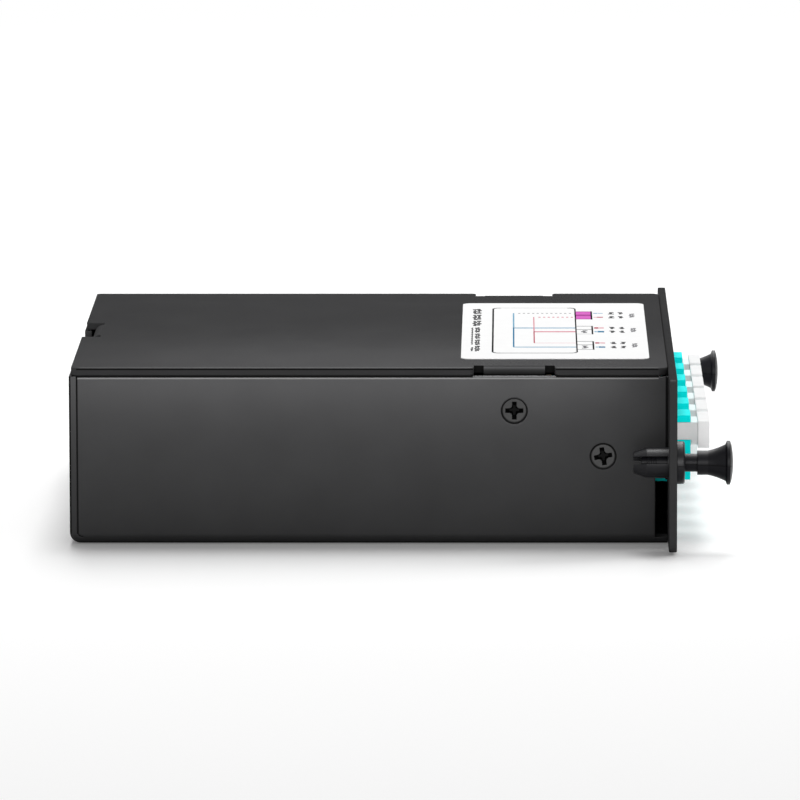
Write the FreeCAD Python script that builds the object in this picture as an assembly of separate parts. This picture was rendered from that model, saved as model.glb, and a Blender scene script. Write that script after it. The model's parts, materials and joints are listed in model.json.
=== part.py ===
"""Fibre cassette: a shallow sheet-steel box with six LC ports behind a front plate.

Millimetres. X runs out of the front plate, Z is up, and Y runs across the plate.
The origin lies midway between the two latches, on the plate's rear seating face.
"""
import FreeCAD
import Part

import math
import os

Vector = FreeCAD.Vector
alongX, alongY, alongZ = Vector(1, 0, 0), Vector(0, 1, 0), Vector(0, 0, 1)

# ---- sheet-steel body ----
sheet = 1.2
body_length = 99.8
body_width = 88.0
body_height = 29.7
side_bend = 1.6            # outside radius between floor and side wall
rear_bend = 2.1            # outside radius between floor and rear wall
corner_seam = 0.15         # slit between a side wall and the rear wall
front_notch_length = 2.1
front_notch_height = 11.2

# ---- cover ----
lid_gap = 0.1              # behind the plate
wall_gap = 0.23            # above the wall tops
lid_rear_inset = 0.35
lid_rear_corner = 0.8
lid_front_corner = 1.5
tab_play = 0.05            # tab to the inside of its wall
tab_bend = 1.6
tab_drop = 10.2            # tab's tip below the cover's top
side_tab_width = 10.2
side_notch_width = 13.5
side_notch_depth = 3.1
side_notch_corner = 0.9
rear_tab_width = 12.0
rear_tab_gap = 0.65         # tab to the inside of the rear wall
rear_notch_width = 16.4
rear_wall_notch = 1.5      # depth of the same notch in the rear wall's top edge

# ---- front plate and its brackets ----
plate_thickness = 1.33
plate_height = 29.0
plate_corner = 1.0
plate_edge = 0.2
bracket_length = 15.0
bracket_foot = 5.4
bracket_low = -3.0
bracket_high = 9.0

# ---- countersunk screws ----
screw_thread_radius = 1.25
screw_head_radius = 2.1
screw_length = 4.0
screw_hole_play = 0.14
recess_span = 3.0
recess_slot = 0.75
recess_depth = 0.9
tab_screw_x = -25.6
tab_screw_drop = 7.25      # below the cover's top
bracket_screw_x = -10.8
bracket_screw_z = 0.0

# ---- latches ----
latch_offset = 6.5         # barrel's axis outside the side wall
ear_margin = 4.4           # plate's end beyond that axis
barrel_radius = 2.58
barrel_length = 5.85       # behind the plate's rear face
barrel_taper = 2.2
barrel_tip_radius = 1.85
barrel_slot = 1.3
barrel_slot_turn = -19.0
collar_radius = 3.55
collar_thickness = 1.31
collar_edge = 0.4
hole_play = 0.05
stem_radius = 1.5
stem_play = 0.08
stem_end_inset = 1.3
stem_tip = 0.95            # plain length before the ribs
stem_rib = 0.25
rib_width = 0.3
rib_pitch = 0.75
latch_stroke = 2.05
knob_gap = 0.04            # left between knob and collar when pushed home
knob_radius = 2.03
knob_straight = 1.75
flare_length = 2.9
flare_radius = 3.06
rim_step = 0.25            # flare's end to the full rim
rim_radius = 3.66
rim_thickness = 0.5
rim_chamfer = 0.25
face_radius = 3.0
dome_height = 0.3

# ---- LC adapters ----
port_count = 6
port_pitch = 13.0
nose_width = 6.6
nose_length = 2.6          # in front of the plate
nose_low = -5.3
nose_high = 5.6
block_high = 1.43          # top of the port block, floor of the side window
roof_thickness = 1.15
window_play = 0.1          # nose to the plate's window
shoulder = 0.25            # adapter body beyond the nose, all round
adapter_depth = 19.0       # behind the plate's rear face
port_size = 4.6
port_depth = 11.4          # from the nose's face to the middle wall
rear_port_depth = 8.0
latch_slot_width = 3.2
latch_slot_depth = 6.0
sleeve_radius = 0.8
sleeve_bore = 0.645
sleeve_length = 10.8
sleeve_play = 0.06

# ---- adapter spring clips ----
clip_gauge = 0.3
clip_play = 0.03
clip_length = 4.0
clip_drop = 7.5
clip_foot = 0.8

# ---- dust caps ----
cap_play = 0.1
cap_plug_length = 6.6      # inside the port
cap_bore_radius = 1.35
cap_neck = 1.2
cap_web = 1.6              # joins the plug to the neck above it
cap_handle_width = 10.5
cap_handle_thickness = 1.92
cap_handle_low = 0.35
cap_handle_high = 4.95
cap_edge = 0.35

# ---- connectors inside, on the rear of each adapter ----
plug_play = 0.05
plug_length = 12.0
plug_engaged = 7.6
ferrule_radius = 0.625
ferrule_gap = 0.1          # short of the sleeve's middle
nose_bore_radius = 1.3     # recess round the ferrule, deep enough for the sleeve
nose_bore_depth = 4.0
crimp_radius = 1.9
crimp_length = 4.0
boot_length = 12.0
boot_rear_radius = 0.9
lever_width = 2.6
lever_height = 1.7
lever_length = 8.0
lever_inset = 2.2

# ---- label ----
label_length = 31.6
label_width = 65.2
label_front_inset = 2.95
label_shift = -1.4
label_corner = 1.5
label_thickness = 0.1

# ---- splitters and fibre storage ----
splitter_count = 3
splitter_radius = 1.5
splitter_length = 40.0
splitter_pitch = 4.0
splitter_play = 0.05
splitter_rear_gap = 3.4
holder_width = 20.0
holder_floor = 1.2
holder_margin = 2.3
storage_gap = 0.5          # spool flanges to the splitter holder
spool_gap = 7.2            # between the two spools' flanges
drum_radius = 15.0
drum_wall = 1.2
drum_height = 8.0
flange_width = 3.4
flange_thickness = 1.0
ear_count = 4
ear_width = 5.0
coil_radius = 1.4
coil_play = 0.08
tail_radius = 0.3
tail_play = 0.04
tail_lead = 4.0
tail_side = 1.8
tail_end = 6.0

# ---- places worked out from the sizes above ----
floor_z = -body_height / 2
floor_top = floor_z + sheet
lid_top = body_height / 2
lid_under = lid_top - sheet
wall_top = lid_under - wall_gap
side_y = body_width / 2
side_inner = side_y - sheet
rear_x = -body_length
rear_inner = rear_x + sheet
plate_front = plate_thickness
nose_x = plate_front + nose_length
roof_low = nose_high - roof_thickness
port_z = (nose_low + block_high) / 2
port_places = [(i - (port_count - 1) / 2) * port_pitch for i in range(port_count)]
latch_y = side_y + latch_offset
latch_places = {"left": latch_y, "right": -latch_y}
plate_reach = latch_y + ear_margin
middle_wall_front = nose_x - port_depth
middle_wall_rear = -adapter_depth + rear_port_depth
sleeve_middle = (middle_wall_front + middle_wall_rear) / 2
plug_tip = -adapter_depth + plug_engaged
plug_rear = plug_tip - plug_length
boot_end = plug_rear - crimp_length - boot_length
screw_cone = screw_head_radius - screw_thread_radius
splitter_places = [rear_inner + splitter_rear_gap + i * splitter_pitch
                   for i in range(splitter_count)]
flange_radius = drum_radius + flange_width
spool_x = splitter_places[-1] + holder_margin + storage_gap + flange_radius
spool_y = flange_radius + spool_gap / 2
coil_lane = drum_radius + coil_play + coil_radius
coil_z = floor_top + flange_thickness + coil_play + coil_radius
splitter_z = floor_top + holder_floor + splitter_radius


def block(x, y, z):
    """Box between the two values given for each direction."""
    return Part.makeBox(x[1] - x[0], y[1] - y[0], z[1] - z[0], Vector(x[0], y[0], z[0]))


def rod(radius, length, base, direction):
    return Part.makeCylinder(radius, length, base, direction)


def rounded_path(points, radii):
    """Straight edges through the points, with a tangent arc at each inner point."""
    edges, start = [], points[0]
    for before, corner, after, radius in zip(points, points[1:], points[2:], radii):
        back = (before - corner).normalize()
        on = (after - corner).normalize()
        half_turn = (math.pi - back.getAngle(on)) / 2
        first = corner + back * radius * math.tan(half_turn)
        last = corner + on * radius * math.tan(half_turn)
        inward = (back + on).normalize()
        middle = corner + inward * radius * (1 / math.cos(half_turn) - 1)
        edges.append(Part.LineSegment(start, first).toShape())
        edges.append(Part.Arc(first, middle, last).toShape())
        start = last
    edges.append(Part.LineSegment(start, points[-1]).toShape())
    return edges


def bent_sheet(outside, inside, outside_radius, inside_radius, run):
    """Strip between two bent outlines, extruded along run."""
    bends = len(outside) - 2
    edges = rounded_path(outside, [outside_radius] * bends)
    edges += rounded_path(inside, [inside_radius] * bends)
    edges.append(Part.LineSegment(outside[0], inside[0]).toShape())
    edges.append(Part.LineSegment(outside[-1], inside[-1]).toShape())
    outline = Part.Wire(Part.sortEdges(edges)[0])
    return Part.Face(outline).extrude(run)


def rounded_corners(solid, radius, wanted, direction):
    """Fillet the straight edges along direction whose middle is wanted."""
    edges = []
    for edge in solid.Edges:
        if len(edge.Vertexes) != 2 or edge.Curve.TypeId != "Part::GeomLine":
            continue
        ends = edge.Vertexes[1].Point - edge.Vertexes[0].Point
        if ends.cross(direction).Length < 1e-6 * ends.Length and wanted(edge.CenterOfMass):
            edges.append(edge)
    return solid.makeFillet(radius, edges)


def turned(outline, base, direction):
    """Solid of revolution from (distance along the axis, radius) points and arcs.

    A triple of pairs stands for an arc that starts where the outline has got to.
    """
    side = Vector(0, 1, 0) if abs(direction.y) < 0.5 else Vector(0, 0, 1)

    def place(pair):
        return base + direction * pair[0] + side * pair[1]

    edges, here = [], place(outline[0])
    for step in outline[1:]:
        if isinstance(step[0], tuple):
            through, to = place(step[0]), place(step[1])
            edges.append(Part.Arc(here, through, to).toShape())
        else:
            to = place(step)
            edges.append(Part.LineSegment(here, to).toShape())
        here = to
    edges.append(Part.LineSegment(here, place(outline[0])).toShape())
    return Part.Face(Part.Wire(edges)).revolve(base, direction, 360)


def screw_seats():
    """Centre of each countersink on the side walls, with the way out of the wall."""
    seats = []
    for side in (1, -1):
        for x, z in ((tab_screw_x, lid_top - tab_screw_drop), (bracket_screw_x, bracket_screw_z)):
            seats.append((Vector(x, side * side_y, z), Vector(0, side, 0)))
    return seats


def screw_clearance(reach):
    """Countersunk holes for all four screws, reach deep."""
    thread = screw_thread_radius + screw_hole_play
    head = screw_head_radius + screw_hole_play
    holes = []
    for seat, out in screw_seats():
        cone = Part.makeCone(head, thread, screw_cone + screw_hole_play, seat, -out)
        holes.append(cone.fuse(rod(thread, reach, seat, -out)))
    return Part.makeCompound(holes)


def base_tray():
    """Floor, both sides and the rear wall, folded from one sheet."""
    run = -rear_inner - corner_seam
    outside = [Vector(0, -side_y, wall_top), Vector(0, -side_y, floor_z),
               Vector(0, side_y, floor_z), Vector(0, side_y, wall_top)]
    inside = [Vector(0, -side_inner, wall_top), Vector(0, -side_inner, floor_top),
              Vector(0, side_inner, floor_top), Vector(0, side_inner, wall_top)]
    trough = bent_sheet(outside, inside, side_bend, side_bend - sheet, Vector(-run, 0, 0))

    across = Vector(0, body_width, 0)
    inner_bend = rear_bend - sheet
    low_x = rear_x + 2 * rear_bend
    rear_outside = [Vector(rear_x, -side_y, wall_top), Vector(rear_x, -side_y, floor_z),
                    Vector(low_x, -side_y, floor_z)]
    rear_inside = [Vector(rear_inner, -side_y, wall_top), Vector(rear_inner, -side_y, floor_top),
                   Vector(low_x, -side_y, floor_top)]
    rear_wall = bent_sheet(rear_outside, rear_inside, rear_bend, inner_bend, across)

    # the slit follows the inside of the rear bend down to the floor
    slit_x = rear_inner + corner_seam
    slit_end = rear_inner + inner_bend + corner_seam
    slit_low = floor_top + corner_seam
    slit = bent_sheet(
        [Vector(rear_inner, -side_y, wall_top), Vector(rear_inner, -side_y, floor_top),
         Vector(slit_end, -side_y, floor_top)],
        [Vector(slit_x, -side_y, wall_top), Vector(slit_x, -side_y, slit_low),
         Vector(slit_end, -side_y, slit_low)],
        inner_bend, inner_bend - corner_seam, across)
    tray = trough.cut(slit).fuse(rear_wall)

    # both bends round the lower rear corners
    envelope = block((rear_x, 0), (-side_y, side_y), (floor_z, lid_top))
    envelope = rounded_corners(envelope, rear_bend,
                               lambda p: p.x < rear_x + 1 and p.z < 0, alongY)
    trough_space = block((rear_x, 0), (-side_y, side_y), (floor_z, lid_top))
    trough_space = rounded_corners(trough_space, side_bend, lambda p: p.z < 0, alongX)
    tray = tray.common(envelope).common(trough_space)

    notch_z = (floor_top, floor_top + front_notch_height)
    notch = block((-front_notch_length, 0), (-side_y, side_y), notch_z)
    keep = block((-front_notch_length, 0), (-side_inner, side_inner), notch_z)
    tray = tray.cut(notch.cut(keep))
    half = rear_notch_width / 2
    tray = tray.cut(block((rear_x, rear_inner), (-half, half), (wall_top - rear_wall_notch, wall_top)))
    return tray.cut(screw_clearance(sheet)).removeSplitter()


def cover_tab(width, middle_x, side):
    """Tab on a long edge, bent down inside its side wall."""
    face = side * (side_inner - tab_play)
    back = face - side * sheet
    root = face - side * 3 * tab_bend
    start = middle_x - width / 2
    outside = [Vector(start, root, lid_top), Vector(start, face, lid_top),
               Vector(start, face, lid_top - tab_drop)]
    inside = [Vector(start, root, lid_under), Vector(start, back, lid_under),
              Vector(start, back, lid_top - tab_drop)]
    return bent_sheet(outside, inside, tab_bend, tab_bend - sheet, Vector(width, 0, 0))


def rear_cover_tab():
    """Tab on the rear edge, bent down inside the rear wall."""
    face = rear_inner + rear_tab_gap
    back = face + sheet
    root = face + 3 * tab_bend
    start = -rear_tab_width / 2
    outside = [Vector(root, start, lid_top), Vector(face, start, lid_top),
               Vector(face, start, lid_top - tab_drop)]
    inside = [Vector(root, start, lid_under), Vector(back, start, lid_under),
              Vector(back, start, lid_top - tab_drop)]
    return bent_sheet(outside, inside, tab_bend, tab_bend - sheet,
                      Vector(0, rear_tab_width, 0))


def cover():
    """Flat lid with three bent tabs in open notches."""
    rear = rear_x + lid_rear_inset
    lid = block((rear, -lid_gap), (-side_y, side_y), (lid_under, lid_top))
    lid = rounded_corners(lid, lid_rear_corner, lambda p: p.x < rear + 1, alongZ)
    lid = rounded_corners(lid, lid_front_corner, lambda p: p.x > -1, alongZ)
    half = side_notch_width / 2
    notch_x = (tab_screw_x - half, tab_screw_x + half)
    for side in (-1, 1):
        edge, inner = side * side_y, side * (side_y - side_notch_depth)
        lid = lid.cut(block(notch_x, sorted((edge, inner)), (lid_under, lid_top)))
    lid = rounded_corners(
        lid, side_notch_corner,
        lambda p: abs(p.y) > side_y - 0.1 and abs(p.x - tab_screw_x) < half + 0.1, alongZ)
    rear_notch = (rear, rear_inner + rear_tab_gap + tab_bend)
    lid = lid.cut(block(rear_notch, (-rear_notch_width / 2, rear_notch_width / 2),
                        (lid_under, lid_top)))
    for side in (-1, 1):
        lid = lid.fuse(cover_tab(side_tab_width, tab_screw_x, side))
    lid = lid.fuse(rear_cover_tab())
    return lid.cut(screw_clearance(screw_length)).removeSplitter()


def front_plate():
    """Plate with six port windows and a latch hole in each ear."""
    plate = block((0, plate_front), (-plate_reach, plate_reach),
                  (-plate_height / 2, plate_height / 2))
    plate = rounded_corners(plate, plate_corner, lambda p: True, alongX)
    rims = [e for e in plate.Edges if abs(e.CenterOfMass.x - plate_front / 2) > 0.1]
    plate = plate.makeFillet(plate_edge, rims)
    reach = nose_width / 2 + window_play
    for y in port_places:
        plate = plate.cut(block((0, plate_front), (y - reach, y + reach),
                                (nose_low - window_play, nose_high + window_play)))
    for y in latch_places.values():
        plate = plate.cut(rod(barrel_radius + hole_play, plate_front, Vector(0, y, 0), alongX))
    return plate


def front_bracket(side):
    """Angle welded behind the plate, tapped for a screw through the side wall."""
    face = side * (side_inner - tab_play)
    back = face - side * sheet
    toe = face - side * bracket_foot
    outside = [Vector(-bracket_length, face, bracket_low), Vector(0, face, bracket_low),
               Vector(0, toe, bracket_low)]
    inside = [Vector(-bracket_length, back, bracket_low), Vector(-sheet, back, bracket_low),
              Vector(-sheet, toe, bracket_low)]
    angle = bent_sheet(outside, inside, tab_bend, tab_bend - sheet,
                       Vector(0, 0, bracket_high - bracket_low))
    return angle.cut(screw_clearance(screw_length))


def side_screws():
    """Four cross-recessed countersunk screws."""
    screws = []
    for seat, out in screw_seats():
        shank = turned([(0, 0), (0, screw_head_radius), (screw_cone, screw_thread_radius),
                        (screw_length, screw_thread_radius), (screw_length, 0)], seat, -out)
        half, slot = recess_span / 2, recess_slot / 2
        depth = sorted((seat.y, seat.y - out.y * recess_depth))
        for dx, dz in ((half, slot), (slot, half)):
            shank = shank.cut(block((seat.x - dx, seat.x + dx), depth,
                                    (seat.z - dz, seat.z + dz)))
        screws.append(shank)
    return Part.makeCompound(screws)


def latch_grommet(y):
    """Collar in front of the plate and a split, tapered barrel through it."""
    base = Vector(0, y, 0)
    bore = stem_radius + stem_play
    full = barrel_length - barrel_taper
    front = plate_front + collar_thickness
    edge = collar_edge * (1 - math.sqrt(0.5))
    body = turned([(-barrel_length, bore), (-barrel_length, barrel_tip_radius),
                   (-full, barrel_radius), (plate_front, barrel_radius),
                   (plate_front, collar_radius), (front - collar_edge, collar_radius),
                   ((front - edge, collar_radius - edge), (front, collar_radius - collar_edge)),
                   (front, bore)], base, alongX)
    slot = block((-barrel_length, -plate_edge), (y - barrel_radius, y + barrel_radius),
                 (-barrel_slot / 2, barrel_slot / 2))
    for turn in (barrel_slot_turn, barrel_slot_turn + 90):
        cutter = slot.copy()
        cutter.rotate(base, alongX, turn)
        body = body.cut(cutter)
    return body


def latch_plunger(y):
    """Stem with a ribbed tip and a trumpet-shaped pull knob, drawn out."""
    base = Vector(0, y, 0)
    tip = -barrel_length + stem_end_inset
    knob = plate_front + collar_thickness + latch_stroke + knob_gap
    flare = knob + knob_straight
    flare_end = flare + flare_length
    neck = stem_radius - stem_rib
    ribs = [(tip, 0), (tip, neck)]
    for i in range(2):
        start = tip + stem_tip + rib_pitch * i
        ribs += [(start, neck), (start, stem_radius), (start + rib_width, stem_radius),
                 (start + rib_width, neck)]
    shoulder_x = tip + stem_tip + rib_pitch * 2
    waist = (flare + flare_length * 0.5, knob_radius + (flare_radius - knob_radius) * 0.39)
    rim = flare_end + rim_step
    rim_end = rim + rim_thickness
    face = rim_end + rim_chamfer
    dome_radius = (face_radius ** 2 + dome_height ** 2) / (2 * dome_height)
    half_angle = math.asin(face_radius / dome_radius) / 2
    dome = (face + dome_height - dome_radius * (1 - math.cos(half_angle)),
            dome_radius * math.sin(half_angle))
    return turned(ribs + [(shoulder_x, neck), (shoulder_x, stem_radius), (knob, stem_radius),
                          (knob, knob_radius), (flare, knob_radius),
                          (waist, (flare_end, flare_radius)), (rim, rim_radius),
                          (rim_end, rim_radius), (face, face_radius),
                          (dome, (face + dome_height, 0))], base, alongX)


def lc_adapter(y):
    """Port block and roof in front of the plate, shouldered body behind it."""
    half = nose_width / 2
    nose_y = (y - half, y + half)
    body_y = (y - half - shoulder, y + half + shoulder)
    body = block((-adapter_depth, 0), body_y, (nose_low - shoulder, nose_high + shoulder))
    body = rounded_corners(body, shoulder, lambda p: True, alongX)
    body = body.fuse(block((-plate_thickness, nose_x), nose_y, (nose_low, block_high)))
    body = body.fuse(block((-plate_thickness, nose_x), nose_y, (roof_low, nose_high)))

    hole = port_size / 2
    port_y = (y - hole, y + hole)
    body = body.cut(block((middle_wall_front, nose_x), port_y, (port_z - hole, port_z + hole)))
    body = body.cut(block((-adapter_depth, middle_wall_rear), port_y,
                          (port_z - hole, port_z + hole)))
    slot_y = (y - latch_slot_width / 2, y + latch_slot_width / 2)
    slot_z = (port_z, roof_low)
    body = body.cut(block((-latch_slot_depth, nose_x), slot_y, slot_z))
    body = body.cut(block((-adapter_depth, latch_slot_depth - adapter_depth), slot_y, slot_z))
    bore = rod(sleeve_radius + sleeve_play, adapter_depth,
               Vector(-adapter_depth, y, port_z), alongX)
    return body.cut(bore).removeSplitter()


def alignment_sleeve(y):
    """Split ceramic tube that lines up two ferrules in the middle wall."""
    start = Vector(sleeve_middle - sleeve_length / 2, y, port_z)
    tube = rod(sleeve_radius, sleeve_length, start, alongX)
    tube = tube.cut(rod(sleeve_bore, sleeve_length, start, alongX))
    slit = block((start.x, start.x + sleeve_length), (y - sleeve_play, y + sleeve_play),
                 (port_z, port_z + sleeve_radius))
    return tube.cut(slit)


def adapter_clip(y):
    """Spring-steel saddle over the adapter body, its feet against the plate."""
    inner = nose_width / 2 + shoulder + clip_play
    outer = inner + clip_gauge
    low = nose_high - clip_drop
    top = nose_high + shoulder + clip_play
    rear = -clip_length - clip_gauge
    saddle = bent_sheet(
        [Vector(rear, y - outer, low), Vector(rear, y - outer, top + clip_gauge),
         Vector(rear, y + outer, top + clip_gauge), Vector(rear, y + outer, low)],
        [Vector(rear, y - inner, low), Vector(rear, y - inner, top),
         Vector(rear, y + inner, top), Vector(rear, y + inner, low)],
        clip_gauge + shoulder, shoulder, Vector(clip_length, 0, 0))
    for side in (-1, 1):
        foot_y = sorted((y + side * inner, y + side * (outer + clip_foot)))
        saddle = saddle.fuse(block((-clip_gauge - clip_play, -clip_play), foot_y,
                                   (low, low + clip_length)))
        leg_y = sorted((y + side * inner, y + side * outer))
        saddle = saddle.fuse(block((rear, -clip_play), leg_y, (low, low + clip_length)))
    return saddle.removeSplitter()


def dust_cap(y):
    """Hollow plug and window blade on a broad pull tab, joined by a thin web."""
    half = port_size / 2 - cap_play
    plug_start = nose_x - cap_plug_length
    plug = block((plug_start, nose_x + cap_play), (y - half, y + half),
                 (port_z - half, port_z + half))
    plug = rounded_corners(plug, cap_edge, lambda p: True, alongX)
    blade_half = nose_width / 2 - cap_play / 2
    blade_z = (block_high + cap_play / 2, roof_low - cap_play / 2)
    blade = block((plate_front + cap_play, nose_x + cap_neck),
                  (y - blade_half, y + blade_half), blade_z)
    neck = block((nose_x + cap_play, nose_x + cap_neck), (y - blade_half, y + blade_half),
                 (cap_handle_low + cap_edge, blade_z[1]))
    handle_x = (nose_x + cap_neck, nose_x + cap_neck + cap_handle_thickness)
    reach = cap_handle_width / 2
    handle = block(handle_x, (y - reach, y + reach), (cap_handle_low, cap_handle_high))
    handle = rounded_corners(handle, cap_edge, lambda p: p.x > handle_x[0] - 1, alongX)
    web = block((nose_x + cap_play, nose_x + cap_neck), (y - cap_web / 2, y + cap_web / 2),
                (port_z - half, blade_z[0]))
    cap = plug.fuse([blade, neck, web, handle])
    hollow = rod(cap_bore_radius, cap_plug_length, Vector(plug_start, y, port_z), alongX)
    return cap.cut(hollow).removeSplitter()


def inner_connector(y):
    """LC plug in the rear port: housing, latch lever, ferrule, crimp and boot."""
    half = port_size / 2 - plug_play
    axis = Vector(plug_tip, y, port_z)
    housing = block((plug_rear, plug_tip), (y - half, y + half), (port_z - half, port_z + half))
    recess = rod(nose_bore_radius, nose_bore_depth, axis, -alongX)
    root = Vector(plug_tip - nose_bore_depth, y, port_z)
    ferrule = rod(ferrule_radius, sleeve_middle - ferrule_gap - root.x, root, alongX)
    lever_y = (y - lever_width / 2, y + lever_width / 2)
    top = port_z + half
    toe = plug_tip - lever_inset
    heel = toe - lever_length
    corners = [Vector(toe, lever_y[0], top),
               Vector(toe - lever_height, lever_y[0], top + lever_height),
               Vector(heel + lever_height, lever_y[0], top + lever_height),
               Vector(heel, lever_y[0], top)]
    lever = Part.Face(Part.makePolygon(corners + corners[:1]))
    lever = lever.extrude(Vector(0, lever_width, 0))
    tail = turned([(0, 0), (0, crimp_radius), (crimp_length, crimp_radius),
                   (crimp_length, crimp_radius - 0.3),
                   (crimp_length + boot_length, boot_rear_radius),
                   (crimp_length + boot_length, 0)], Vector(plug_rear, y, port_z), -alongX)
    return housing.cut(recess).fuse([ferrule, lever, tail]).removeSplitter()


def label():
    """Thin sticker on the cover."""
    front = -label_front_inset
    sticker = block((front - label_length, front),
                    (label_shift - label_width / 2, label_shift + label_width / 2),
                    (lid_top, lid_top + label_thickness))
    return rounded_corners(sticker, label_corner, lambda p: True, alongZ)


def splitter(x):
    """Steel tube that holds one fused coupler."""
    start = Vector(x, -splitter_length / 2, splitter_z)
    tube = rod(splitter_radius, splitter_length, start, alongY)
    return tube.makeChamfer(0.2, [tube.Edges[0], tube.Edges[2]])


def splitter_holder():
    """Comb on the floor with one round-bottomed groove per splitter."""
    x = (splitter_places[0] - holder_margin, splitter_places[-1] + holder_margin)
    half = holder_width / 2
    comb = block(x, (-half, half), (floor_top, splitter_z + splitter_radius / 2))
    groove = splitter_radius + splitter_play
    for place in splitter_places:
        comb = comb.cut(rod(groove, holder_width, Vector(place, -half, splitter_z), alongY))
        comb = comb.cut(block((place - groove, place + groove), (-half, half),
                              (splitter_z, splitter_z + splitter_radius)))
    return comb


def routing_spool(y):
    """Drum with a base flange and a few ears that keep the fibre down."""
    base = Vector(spool_x, y, floor_top)
    spool = turned([(0, drum_radius - drum_wall), (0, flange_radius),
                    (flange_thickness, flange_radius), (flange_thickness, drum_radius),
                    (drum_height, drum_radius), (drum_height, drum_radius - drum_wall)],
                   base, alongZ)
    ear = block((drum_radius - drum_wall, flange_radius), (-ear_width / 2, ear_width / 2),
                (drum_height - flange_thickness, drum_height))
    for i in range(ear_count):
        piece = ear.copy()
        piece.rotate(Vector(0, 0, 0), alongZ, 45 + i * 360 / ear_count)
        piece.translate(base)
        spool = spool.fuse(piece)
    return spool.removeSplitter()


def fibre_coil():
    """Spare fibre wound round both spools, as one closed loop."""
    half = spool_y
    front, rear = spool_x + coil_lane, spool_x - coil_lane
    points = [Vector(front, -half, coil_z), Vector(front, half, coil_z),
              Vector(rear, half, coil_z), Vector(rear, -half, coil_z)]
    loop = Part.Wire([
        Part.LineSegment(points[0], points[1]).toShape(),
        Part.Arc(points[1], Vector(spool_x, half + coil_lane, coil_z), points[2]).toShape(),
        Part.LineSegment(points[2], points[3]).toShape(),
        Part.Arc(points[3], Vector(spool_x, -half - coil_lane, coil_z), points[0]).toShape()])
    section = Part.Wire(Part.makeCircle(coil_radius, points[0], alongY))
    return loop.makePipeShell([section], True, True)


def fibre_tail(y):
    """Fibre from one boot, down on to the coil's front run."""
    turn = -1 if y > 0 else 1
    lane = spool_x + coil_lane
    rest = coil_z + coil_radius + tail_radius + tail_play
    points = [Vector(boot_end, y, port_z),
              Vector(boot_end - tail_lead, y, port_z),
              Vector(lane, y + turn * tail_side, rest),
              Vector(lane, y + turn * tail_end, rest)]
    radii = []
    for before, corner, after in zip(points, points[1:], points[2:]):
        back, on = before - corner, after - corner
        half_turn = (math.pi - back.getAngle(on)) / 2
        radii.append(0.45 * min(back.Length, on.Length) / math.tan(half_turn))
    route = Part.Wire(rounded_path(points, radii))
    section = Part.Wire(Part.makeCircle(tail_radius, points[0], points[1] - points[0]))
    return route.makePipeShell([section], True, True)


def all_nodes():
    nodes = {"base_tray": base_tray(), "cover": cover(), "front_plate": front_plate(),
             "front_bracket_left": front_bracket(1), "front_bracket_right": front_bracket(-1),
             "side_screws": side_screws(), "label": label()}
    for name, y in latch_places.items():
        nodes[f"latch_grommet_{name}"] = latch_grommet(y)
        nodes[f"latch_plunger_{name}"] = latch_plunger(y)
    for number, y in enumerate(port_places, 1):
        nodes[f"lc_adapter_{number}"] = lc_adapter(y)
        nodes[f"alignment_sleeve_{number}"] = alignment_sleeve(y)
        nodes[f"adapter_clip_{number}"] = adapter_clip(y)
        nodes[f"dust_cap_{number}"] = dust_cap(y)
        nodes[f"inner_connector_{number}"] = inner_connector(y)
        nodes[f"fibre_tail_{number}"] = fibre_tail(y)
    for number, x in enumerate(splitter_places, 1):
        nodes[f"splitter_{number}"] = splitter(x)
    nodes["splitter_holder"] = splitter_holder()
    for name, side in (("left", 1), ("right", -1)):
        nodes[f"routing_spool_{name}"] = routing_spool(side * spool_y)
    nodes["fibre_coil"] = fibre_coil()
    return nodes


os.makedirs("parts", exist_ok=True)
for node, shape in all_nodes().items():
    assert shape.isValid(), node
    shape.exportStep(f"parts/{node}.step")
    print(f"{node}: {len(shape.Solids)} solid(s), {shape.Volume:.1f} mm3")
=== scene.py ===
import json
import math

import bmesh
import bpy
from mathutils import Matrix, Vector


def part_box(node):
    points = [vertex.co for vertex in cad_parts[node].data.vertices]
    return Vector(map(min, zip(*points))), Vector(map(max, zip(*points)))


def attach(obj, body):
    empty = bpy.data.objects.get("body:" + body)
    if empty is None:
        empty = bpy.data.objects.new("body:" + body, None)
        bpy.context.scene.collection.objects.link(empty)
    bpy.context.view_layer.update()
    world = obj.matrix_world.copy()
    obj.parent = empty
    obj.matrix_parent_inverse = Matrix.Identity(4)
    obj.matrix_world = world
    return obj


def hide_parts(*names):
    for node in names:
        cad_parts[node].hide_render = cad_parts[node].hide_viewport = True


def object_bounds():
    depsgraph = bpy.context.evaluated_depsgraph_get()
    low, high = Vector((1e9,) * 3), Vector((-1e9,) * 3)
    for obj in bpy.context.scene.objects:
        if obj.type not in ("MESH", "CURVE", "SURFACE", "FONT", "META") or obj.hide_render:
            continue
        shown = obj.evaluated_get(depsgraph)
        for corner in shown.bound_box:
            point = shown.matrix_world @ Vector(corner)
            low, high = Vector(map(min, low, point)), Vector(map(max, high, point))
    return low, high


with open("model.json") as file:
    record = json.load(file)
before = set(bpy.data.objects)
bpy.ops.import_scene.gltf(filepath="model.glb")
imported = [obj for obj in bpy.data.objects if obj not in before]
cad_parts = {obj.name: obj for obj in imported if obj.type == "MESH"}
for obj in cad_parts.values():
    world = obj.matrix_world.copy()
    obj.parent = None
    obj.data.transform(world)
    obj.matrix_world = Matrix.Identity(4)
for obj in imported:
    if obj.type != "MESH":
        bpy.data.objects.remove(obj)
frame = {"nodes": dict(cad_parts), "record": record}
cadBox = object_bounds()
nodes = frame["nodes"]
mm = 0.001
print("frame loaded:", len(nodes), "nodes")


cameraSet = {
    "spot": (-26.2, -1371.5, 216.7), "aim": (-44.63, -44.0, 9.5),       # mm
    "lens": 363.2, "sensor": 36, "roll": -0.124,                        # mm, mm, degrees
}


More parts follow.
